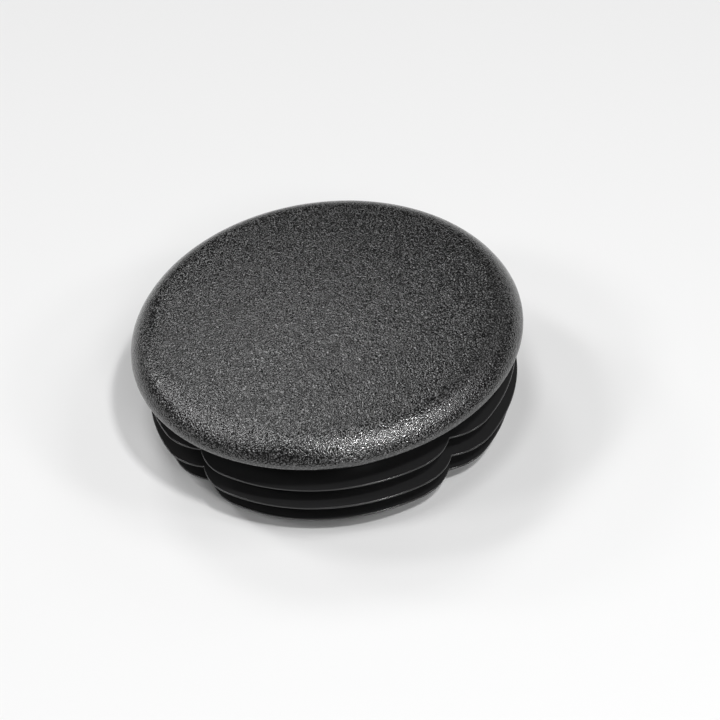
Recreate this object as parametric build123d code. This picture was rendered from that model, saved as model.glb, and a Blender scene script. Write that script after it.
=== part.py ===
from build123d import *
from math import atan2, cos, pi, radians, sin, sqrt
import os

# Ribbed end cap for a round steel tube, one injection moulding in black polyethylene.
# Millimetres. +Z is the cap's axis and points out of the tube. The origin is on the
# axis in the plane of the insert's lower end, so the cap stands on Z = 0, head up.

# ---- the tube that the cap closes ----
TUBE_DIA = 60.0            # outside diameter, which the head finishes flush with
TUBE_BORE_DIA = 56.0       # inside diameter, which the ribs are squeezed into

# ---- head ----
HEAD_RADIUS = TUBE_DIA / 2
HEAD_RIM_BEVEL = 0.45      # lower edge of the head, where it meets the tube's outside
SHOULDER_LOW_ROUND = 1.6   # the side rolls over on this radius first
SHOULDER_LOW_TURN = 26.0   # degrees turned before the larger radius takes over
SHOULDER_TOP_ROUND = 5.4
CROWN_SLOPE = 5.5          # slope in degrees where the shoulder runs out into the crown

# ---- insert ----
INSERT_DEPTH = 16.0        # from the head's underside to the lower end
WALL = 2.0                 # wall thickness of the insert
HEAD_WALL = 2.4            # thickness of the crown over the hollow
CORE_RADIUS = 24.2         # outside of the insert's wall, between the ribs
LEAD_IN = 0.8              # taper on the lower end, which finds the tube's mouth
ROOF_BEVEL = 1.0           # how far the bevel starts under the roof, which the wall runs into
GATE_RADIUS = 1.5          # stub of the injection gate, out of sight inside the crown
GATE_STUB = 0.4

# ---- lobes: notches split the insert's outline, so that it can close up in the tube ----
NOTCH_COUNT = 4
NOTCH_HALF_ANGLE = 14.0    # from a notch's middle to where the lobe runs round again
RIB_NOSE = 8.4             # radius that rolls a rib's edge down into the notch
CORE_NOSE = 6.0            # the same for the wall

# ---- ribs ----
FIRST_RIB_DROP = 5.6       # from the head's underside to the middle of the top rib's tip
RIB_PITCH = 3.6
RIB_SQUEEZE = 0.5          # the widest rib stands this far proud of the tube's bore
TOP_RIB_STEP = 0.1         # the rib next to the head is this much smaller
END_RIB_STEP = 1.25        # the rib next to the end is much smaller, to start the cap
RIB_TIP = 0.3              # height of a rib's edge
RIB_UNDER_RISE = 1.1       # rise of its under face, the slope that slides into the tube
RIB_ROOT = 0.6             # how far the rib's body runs on inside the wall

STAND = (Align.CENTER, Align.CENTER, Align.MIN)
UNDERSIDE = INSERT_DEPTH
WIDEST_RIB = TUBE_BORE_DIA / 2 + RIB_SQUEEZE


def polar(radius, angle):
    return Vector(radius * cos(angle), radius * sin(angle))


def arc(centre, radius, start, end):
    """Arc about a centre, from one direction to another."""
    at = [centre + polar(radius, a) for a in (start, (start + end) / 2, end)]
    return ThreePointArc(*at)


def lobed(radius, nose):
    """Round outline of the given radius with the notches let into it.

    Each lobe is an arc about the axis. Its ends roll inwards on arcs of the nose
    radius, tangent to it, and two neighbours meet in a sharp valley.
    """
    step, half = 2 * pi / NOTCH_COUNT, radians(NOTCH_HALF_ANGLE)
    hub = polar(radius - nose, half)
    valley = hub.X + sqrt(nose ** 2 - hub.Y ** 2)
    turn = atan2(-hub.Y, valley - hub.X)
    edges = []
    for i in range(NOTCH_COUNT):
        first = (i + 0.5) * step
        last = first + step
        near, far = first + half, last - half
        edges.append(arc(polar(radius - nose, near), nose, first + turn, near))
        edges.append(arc(Vector(0, 0), radius, near, far))
        edges.append(arc(polar(radius - nose, far), nose, far, last - turn))
    return make_face(edges)


def stack(*levels):
    """Solid through outlines given as (height, radius, nose), straight between them."""
    faces = [Pos(0, 0, z) * lobed(r, nose) for z, r, nose in levels]
    return loft(faces, ruled=True)


def plate(bottom, top, radius, nose):
    return Pos(0, 0, bottom) * extrude(lobed(radius, nose), top - bottom)


def rib(radius, height):
    """One rib: sloped under face, narrow upright edge, flat upper face."""
    low, high = height - RIB_TIP / 2, height + RIB_TIP / 2
    under = stack(
        (low - RIB_UNDER_RISE, CORE_RADIUS - RIB_ROOT, CORE_NOSE),
        (low, radius, RIB_NOSE),
    )
    return under + plate(low, high, radius, RIB_NOSE)


def shoulder():
    """The head's rolled edge in half section, from its rim up to the crown."""
    low = JernArc(
        (HEAD_RADIUS, UNDERSIDE + HEAD_RIM_BEVEL), (0, 1), SHOULDER_LOW_ROUND, SHOULDER_LOW_TURN
    )
    top_turn = 90 - CROWN_SLOPE - SHOULDER_LOW_TURN
    return low, JernArc(low @ 1, low % 1, SHOULDER_TOP_ROUND, top_turn)


def crown_ball(depth=0):
    """Ball that carries the crown's surface, or the surface that lies depth below it."""
    join = shoulder()[1] @ 1
    radius = join.X / sin(radians(CROWN_SLOPE))
    middle = join.Y - sqrt(radius ** 2 - join.X ** 2)
    return Pos(0, 0, middle) * Rot(90, 0, 0) * Sphere(radius - depth)


def head():
    """Domed head: a turned ring with the rolled shoulder, filled by the crown."""
    low, top = shoulder()
    inner = (top @ 1).X
    under = Polyline(
        top @ 1,
        (inner, UNDERSIDE),
        (HEAD_RADIUS - HEAD_RIM_BEVEL, UNDERSIDE),
        (HEAD_RADIUS, UNDERSIDE + HEAD_RIM_BEVEL),
    )
    ring = revolve(Rot(90, 0, 0) * make_face([low, top, under]), Axis.Z)
    middle = Pos(0, 0, UNDERSIDE) * Cylinder(inner, HEAD_RADIUS / 2, align=STAND)
    return ring + (middle & crown_ball())


def insert():
    """Ribbed plug under the head, still solid."""
    body = plate(LEAD_IN, UNDERSIDE + HEAD_WALL, CORE_RADIUS, CORE_NOSE)
    body += stack((0, CORE_RADIUS - LEAD_IN, CORE_NOSE), (LEAD_IN, CORE_RADIUS, CORE_NOSE))
    top_rib = UNDERSIDE - FIRST_RIB_DROP
    for i, step in enumerate((TOP_RIB_STEP, 0, END_RIB_STEP)):
        body += rib(WIDEST_RIB - step, top_rib - i * RIB_PITCH)
    return body


def hollow():
    """Space inside the insert: its wall follows the lobes, its roof follows the crown."""
    outline = offset(lobed(CORE_RADIUS, CORE_NOSE), -WALL)
    straight = UNDERSIDE + ROOF_BEVEL
    bevel = loft(
        [Pos(0, 0, straight) * outline, Pos(0, 0, straight + HEAD_WALL) * offset(outline, -HEAD_WALL)],
        ruled=True,
    )
    return (extrude(outline, straight) + bevel) & crown_ball(HEAD_WALL)


def gate():
    """Stub of the injection gate, on the roof of the hollow."""
    roof = crown_ball(HEAD_WALL).bounding_box().max.Z
    return Pos(0, 0, roof - GATE_STUB) * Cylinder(GATE_RADIUS, HEAD_WALL / 2, align=STAND)


def end_cap():
    return head() + insert() - hollow() + gate()


os.makedirs("parts", exist_ok=True)
cap = end_cap()
cap.label = "end_cap"
export_step(cap, "parts/end_cap.step")
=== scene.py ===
from math import atan2, ceil, cos, pi, radians, sin, sqrt, tan

import bpy
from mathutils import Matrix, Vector


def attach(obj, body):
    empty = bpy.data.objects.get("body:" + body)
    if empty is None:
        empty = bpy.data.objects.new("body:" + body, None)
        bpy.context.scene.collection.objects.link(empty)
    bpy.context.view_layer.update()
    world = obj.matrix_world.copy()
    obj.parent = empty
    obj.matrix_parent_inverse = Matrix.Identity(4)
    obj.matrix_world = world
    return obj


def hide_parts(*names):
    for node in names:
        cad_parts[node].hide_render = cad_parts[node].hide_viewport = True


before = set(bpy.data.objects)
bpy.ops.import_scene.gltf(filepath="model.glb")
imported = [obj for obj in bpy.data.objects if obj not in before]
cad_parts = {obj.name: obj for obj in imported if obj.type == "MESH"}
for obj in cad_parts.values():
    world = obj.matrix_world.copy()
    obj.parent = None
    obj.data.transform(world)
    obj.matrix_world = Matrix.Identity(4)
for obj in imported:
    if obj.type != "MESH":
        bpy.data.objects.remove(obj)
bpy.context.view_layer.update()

# ---- end cap -----------------------------------------------------------------------
# One injection moulding in black polyethylene that closes the end of a round steel tube:
# a low domed head with a spark-eroded grain over a polished, hollow plug. Three soft ribs
# go round the plug, and four notches split it into lobes. Nothing is joined on.

# Sizes in millimetres, in the half section through the middle of a lobe.
HEAD_RADIUS = 29.99        # a hair inside the facets of the solid that it dresses
UNDERSIDE = 16.0           # height of the head's underside over the plug's lower end
RIM_ROUND = 0.45
SHOULDER_LOW, SHOULDER_TOP = 1.6, 5.4      # the two radii that the head's edge rolls on
SHOULDER_CHANGE, CROWN_EDGE = 26.0, 84.5   # degrees of roll where each of them runs out
WALL_RADIUS = 24.2
WALL = 2.0
LEAD_IN = 0.8              # taper that finds the mouth of the tube
NOTCH_HALF_ANGLE = 14.0    # degrees from a notch's middle to the lobe's full radius
RIB_NOSE, WALL_NOSE = 8.4, 6.0             # radii that roll the outline into a notch
RIB_TIP = 0.3              # height of a rib's upright edge
RIB_UNDER_RISE = 1.1       # rise of its sloping under face
RIB_ROOT = 0.6             # how far that slope runs on inside the wall
RIBS = [(10.4, 28.4), (6.8, 28.5), (3.2, 27.25)]   # height and radius of each edge
EDGE_ROUND, ROOT_ROUND = 0.14, 0.3
HEAD_WALL = 2.4
ROOF_BEVEL = 1.0           # how far over the underside the hollow's wall starts to lean in
ROOF_EDGE = 21.03          # where it meets the roof
ROOF_ROUND = 11.0          # nearer the axis, the roof no longer follows the notches
GATE_RADIUS, GATE_STUB = 1.5, 0.4          # stub of the injection gate, on the roof


def arc(centre, radius, start, end, steps):
    """Points of the half section on an arc, its angles in degrees up from the horizontal."""
    angles = [radians(start + (end - start) * i / steps) for i in range(steps + 1)]
    return [(centre[0] + radius * cos(a), centre[1] + radius * sin(a)) for a in angles]


def softened(corners):
    """Half section through (radius, height, round) corners, each broken by its own round.

    A round takes less than half of the sides it joins, and a ring close by on each side of
    it keeps the flats flat in smooth shading.
    """
    points = [corners[0][:2]]
    for before, here, after in zip(corners, corners[1:], corners[2:]):
        p = Vector(here[:2])
        back, on = Vector(before[:2]) - p, Vector(after[:2]) - p
        half = (pi - back.angle(on)) / 2
        reach = min(here[2] * tan(half), 0.45 * back.length, 0.45 * on.length)
        if reach < 0.01:
            points.append(tuple(p))
            continue
        back.normalize()
        on.normalize()
        radius = reach / tan(half)
        centre = p + (back + on).normalized() * radius / cos(half)
        first, last = (p + back * reach - centre) / radius, (p + on * reach - centre) / radius
        steps = max(2, ceil(2 * half / radians(20)))
        points.append(tuple(p + back * reach * 1.2))
        points += [tuple(centre + first.slerp(last, i / steps) * radius) for i in range(steps + 1)]
        points.append(tuple(p + on * reach * 1.2))
    points.append(corners[-1][:2])
    return points


def notched(radius, nose, angle):
    """Radius of a lobed outline at an angle from the middle of a notch."""
    half = radians(NOTCH_HALF_ANGLE)
    if angle >= half:
        return radius
    hub = radius - nose
    return hub * cos(half - angle) + sqrt(nose ** 2 - (hub * sin(half - angle)) ** 2)


def hollow_notched(depth, angle):
    """The same for a line inside the plug, at an even depth under the wall's outside."""
    half = radians(NOTCH_HALF_ANGLE)
    hub = WALL_RADIUS - WALL_NOSE
    valley = notched(WALL_RADIUS, WALL_NOSE, 0.0)
    share = depth / WALL_NOSE
    along, aside = valley + (hub * cos(half) - valley) * share, hub * sin(half) * share
    if angle > atan2(aside, along):
        return notched(WALL_RADIUS - depth, WALL_NOSE - depth, angle)
    return valley * cos(angle) - sqrt(depth ** 2 - (valley * sin(angle)) ** 2)


# Half section of the head: crown, shoulder and rim, from the middle outwards.
low_hub = (HEAD_RADIUS - SHOULDER_LOW, UNDERSIDE + RIM_ROUND)
top_hub = arc(low_hub, SHOULDER_LOW - SHOULDER_TOP, SHOULDER_CHANGE, 0, 1)[0]
crown_edge = arc(top_hub, SHOULDER_TOP, CROWN_EDGE, 0, 1)[0]
crown_radius = crown_edge[0] / cos(radians(CROWN_EDGE))
crown_hub = (0.0, crown_edge[1] - crown_radius * sin(radians(CROWN_EDGE)))
head_section = (
    arc(crown_hub, crown_radius, 90, CROWN_EDGE, 16)[:-1]
    + arc(top_hub, SHOULDER_TOP, CROWN_EDGE, SHOULDER_CHANGE, 18)[:-1]
    + arc(low_hub, SHOULDER_LOW, SHOULDER_CHANGE, 0, 6)
    + arc((HEAD_RADIUS - RIM_ROUND, UNDERSIDE + RIM_ROUND), RIM_ROUND, 0, -90, 6)[1:]
)

# Half section of the plug: wall and ribs downwards, then the hollow and the gate's stub.
corners = [(HEAD_RADIUS - RIM_ROUND - 0.1, UNDERSIDE, 0), (WALL_RADIUS, UNDERSIDE, ROOT_ROUND)]
for height, radius in RIBS:
    top, low = height + RIB_TIP / 2, height - RIB_TIP / 2
    inside = (radius - WALL_RADIUS) / (radius - WALL_RADIUS + RIB_ROOT)
    corners += [
        (WALL_RADIUS, top, ROOT_ROUND),
        (radius, top, EDGE_ROUND),
        (radius, low, EDGE_ROUND),
        (WALL_RADIUS, low - inside * RIB_UNDER_RISE, ROOT_ROUND),
    ]
inner = WALL_RADIUS - WALL
lower_end = WALL_RADIUS - LEAD_IN
corners += [
    (WALL_RADIUS, LEAD_IN, 0.5),
    (lower_end, 0.0, 0.2),
    (inner, 0.0, 0.3),
    (inner, UNDERSIDE + ROOF_BEVEL, 0.8),
]


def roof(radius):
    """Height of the hollow's roof, which lies a head's wall under the crown."""
    return crown_hub[1] + sqrt((crown_radius - HEAD_WALL) ** 2 - radius ** 2)


corners += [(ROOF_EDGE, roof(ROOF_EDGE), 0.6)]
corners += [(r, roof(r), 0) for r in (18, 15, 12, 9, 6, 3)]
gate_end = roof(0) - GATE_STUB
corners += [(GATE_RADIUS, roof(GATE_RADIUS), 0.25), (GATE_RADIUS, gate_end, 0.12)]
corners += [(0.3, gate_end, 0)]
plug_section = softened(corners)

# Directions round the axis, closer together where a notch turns sharply.
fine = [0.5 * i for i in range(30)]
coarse = [15 + i for i in range(31)]
eighth = fine + coarse
quarter = eighth + [90 - a for a in reversed(eighth[1:-1])]
directions = [45 + 90 * k + a for k in range(4) for a in quarter]
from_notch = [radians(min(a, 90 - a)) for k in range(4) for a in quarter]


def between(value, knots, levels):
    """Level at a value, read off straight lines from knot to knot and held beyond them."""
    for a, b, low, high in zip(knots, knots[1:], levels, levels[1:]):
        if value <= b:
            share = max(0.0, (value - a) / (b - a))
            return low + (high - low) * share
    return levels[-1]


def notch_depth(radius, angle, rib_radius):
    """How far the notch pulls in a ring of the plug that has this radius in mid-lobe."""
    depths = [
        0.0,
        ROOF_EDGE - hollow_notched(WALL_RADIUS - ROOF_EDGE, angle),
        inner - hollow_notched(WALL, angle),
        lower_end - notched(lower_end, WALL_NOSE, angle),
        WALL_RADIUS - notched(WALL_RADIUS, WALL_NOSE, angle),
        rib_radius - notched(rib_radius, RIB_NOSE, angle),
    ]
    knots = [ROOF_ROUND, ROOF_EDGE, inner, lower_end, WALL_RADIUS, rib_radius]
    return between(radius, knots, depths)


def ring(radius, height, lobed):
    """Points of one ring in metres. Its notches are shaped for the nearest rib."""
    rib_radius = min(RIBS, key=lambda rib: abs(rib[0] - height))[1]
    found = []
    for direction, angle in zip(directions, from_notch):
        r = radius - (notch_depth(radius, angle, rib_radius) if lobed else 0.0)
        a = radians(direction)
        found.append((r * cos(a) / 1000, r * sin(a) / 1000, height / 1000))
    return found


rings = [ring(r, z, False) for r, z in head_section[1:]]
head_rings = len(rings)
rings += [ring(r, z, True) for r, z in plug_section]
count = len(directions)
vertices = [(0, 0, head_section[0][1] / 1000)] + [p for one in rings for p in one]
vertices.append((0, 0, gate_end / 1000))
faces = [(0, 1 + i, 1 + (i + 1) % count) for i in range(count)]
for k in range(len(rings) - 1):
    a, b = 1 + k * count, 1 + (k + 1) * count
    for i in range(count):
        j = (i + 1) % count
        faces.append((a + i, b + i, b + j, a + j))
last = 1 + (len(rings) - 1) * count
faces += [(last + (i + 1) % count, last + i, len(vertices) - 1) for i in range(count)]

mesh = bpy.data.meshes.new("end_cap_moulding")
mesh.from_pydata(vertices, [], faces)
mesh.shade_smooth()
cap = bpy.data.objects.new("end_cap_moulding", mesh)
bpy.context.scene.collection.objects.link(cap)


def material(name, colour, roughness):
    """Material and its shader, which a finish then adds its own nodes to."""
    found = bpy.data.materials.new(name)
    found.use_nodes = True
    shader = found.node_tree.nodes["Principled BSDF"]
    shader.inputs["Base Color"].default_value = (*colour, 1)
    shader.inputs["Roughness"].default_value = roughness
    shader.inputs["IOR"].default_value = 1.5
    return found, shader


def node(tree, kind, **sockets):
    """Shader node with these inputs. An underscore in a name stands for a space."""
    found = tree.nodes.new(kind)
    for name, value in sockets.items():
        found.inputs[name.replace("_", " ")].default_value = value
    return found


# The grain that the eroded mould leaves on the head: crumbs about 0.25 mm apart. Its colour is
# painted shade in the pits between the crumbs and painted glints on their paler tops.
grain, shader = material("polyethylene_grained", (0.02, 0.02, 0.0205), 0.18)
shader.inputs["Specular IOR Level"].default_value = 1.0
tree = grain.node_tree
place = tree.nodes.new("ShaderNodeTexCoord")
turned = tree.nodes.new("ShaderNodeMapping")
turned.inputs["Rotation"].default_value = (0.61, 0.44, 0.26)
crumb = node(tree, "ShaderNodeTexNoise", Scale=4600.0, Detail=0.0)
bump = node(tree, "ShaderNodeBump", Strength=1.0, Distance=0.000085)
# Painted shade and glints: the colour runs from near black in the crumbs' pits to pale grey on
# their tops.
painted_crumb_shade = node(tree, "ShaderNodeValToRGB")
stops = painted_crumb_shade.color_ramp.elements
stops.new(0.52)
for stop, position, grey in zip(stops, (0.30, 0.52, 0.78), (0.005, 0.017, 0.10)):
    stop.position = position
    stop.color = (grey, grey, grey, 1)
patches = node(tree, "ShaderNodeTexNoise", Scale=420.0, Detail=3.0)
gloss = node(tree, "ShaderNodeMapRange", To_Min=0.11, To_Max=0.16)
tree.links.new(place.outputs["Object"], turned.inputs["Vector"])
tree.links.new(turned.outputs["Vector"], crumb.inputs["Vector"])
tree.links.new(crumb.outputs["Fac"], bump.inputs["Height"])
tree.links.new(bump.outputs["Normal"], shader.inputs["Normal"])
tree.links.new(crumb.outputs["Fac"], painted_crumb_shade.inputs["Fac"])
tree.links.new(painted_crumb_shade.outputs["Color"], shader.inputs["Base Color"])
tree.links.new(turned.outputs["Vector"], patches.inputs["Vector"])
tree.links.new(patches.outputs["Fac"], gloss.inputs["Value"])
tree.links.new(gloss.outputs["Result"], shader.inputs["Roughness"])

# The polish of the rest: faint flow waves, and a gloss that changes a little.
polish, shader = material("polyethylene_polished", (0.025, 0.025, 0.0255), 0.22)
shader.inputs["Specular IOR Level"].default_value = 0.5
tree = polish.node_tree
place = tree.nodes.new("ShaderNodeTexCoord")
waves = node(tree, "ShaderNodeTexNoise", Scale=240.0, Detail=3.0)
bump = node(tree, "ShaderNodeBump", Strength=0.4, Distance=0.00004)
gloss = node(tree, "ShaderNodeMapRange", To_Min=0.15, To_Max=0.28)
tree.links.new(place.outputs["Object"], waves.inputs["Vector"])
tree.links.new(waves.outputs["Fac"], bump.inputs["Height"])
tree.links.new(waves.outputs["Fac"], gloss.inputs["Value"])
tree.links.new(gloss.outputs["Result"], shader.inputs["Roughness"])
tree.links.new(bump.outputs["Normal"], shader.inputs["Normal"])

mesh.materials.append(grain)
mesh.materials.append(polish)
grained = count * head_rings
mesh.polygons.foreach_set("material_index", [int(i >= grained) for i in range(len(faces))])

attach(cap, "root")
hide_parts("end_cap")

# ---- floor -------------------------------------------------------------------------
# A pale, matt studio table that the cap stands on, on the plug's lower end.
mesh = bpy.data.meshes.new("floor")
mesh.from_pydata([(-3, -3, 0), (3, -3, 0), (3, 3, 0), (-3, 3, 0)], [], [(0, 1, 2, 3)])
floor = bpy.data.objects.new("floor", mesh)
bpy.context.scene.collection.objects.link(floor)
table, shader = material("pale_table", (0.84, 0.84, 0.84), 0.9)
mesh.materials.append(table)

# ---- light -------------------------------------------------------------------------
# Ten small soft lamps stand in a ring round the cap and over it, and the room is dark.
# Their sizes and places decide where the grain glints along the head's shoulder.
LAMP_DISTANCE = 0.8


def lamp(name, turn, height, side, watts):
    """Square lamp, turned from the front to the right and raised from the floor, in degrees."""
    light = bpy.data.lights.new(name, "AREA")
    light.size = side
    light.energy = watts
    holder = bpy.data.objects.new(name, light)
    bpy.context.scene.collection.objects.link(holder)
    t, h = radians(turn), radians(height)
    place = Vector((cos(h) * sin(t), -cos(h) * cos(t), sin(h))) * LAMP_DISTANCE
    holder.location = place
    holder.rotation_euler = (-place).to_track_quat("-Z", "Y").to_euler()


lamp("key", 36, 59, 0.06, 2.4)
lamp("key_low", 65, 36, 0.10, 0.6)
lamp("front", 20, 40, 0.20, 1.25)
lamp("top", -8, 78, 0.15, 1.1)
lamp("left_low", -68, 42, 0.15, 0.8)
lamp("left", -104, 54, 0.15, 0.9)
lamp("left_back", -118, 34, 0.12, 0.5)
lamp("right", 82, 50, 0.20, 0.7)
lamp("back_right", 137, 42, 0.20, 0.2)
lamp("back", -160, 54, 0.20, 0.8)

world = bpy.data.worlds.new("room")
world.use_nodes = True
bpy.context.scene.world = world
room = world.node_tree.nodes["Background"]
room.inputs["Color"].default_value = (1, 1, 1, 1)
room.inputs["Strength"].default_value = 0.0

# ---- camera ------------------------------------------------------------------------
# A long lens that looks down on the head from the front.
camera = bpy.data.objects.new("camera", bpy.data.cameras.new("camera"))
bpy.context.scene.collection.objects.link(camera)
camera.location = (0.04258, -0.29131, 0.27215)
camera.rotation_euler = [radians(a) for a in (48.002, 5.779, 2.264)]
camera.data.sensor_width = 36
camera.data.lens = 128.07
camera.data.clip_start = 0.01
bpy.context.scene.camera = camera
bpy.context.scene.view_settings.view_transform = "Standard"
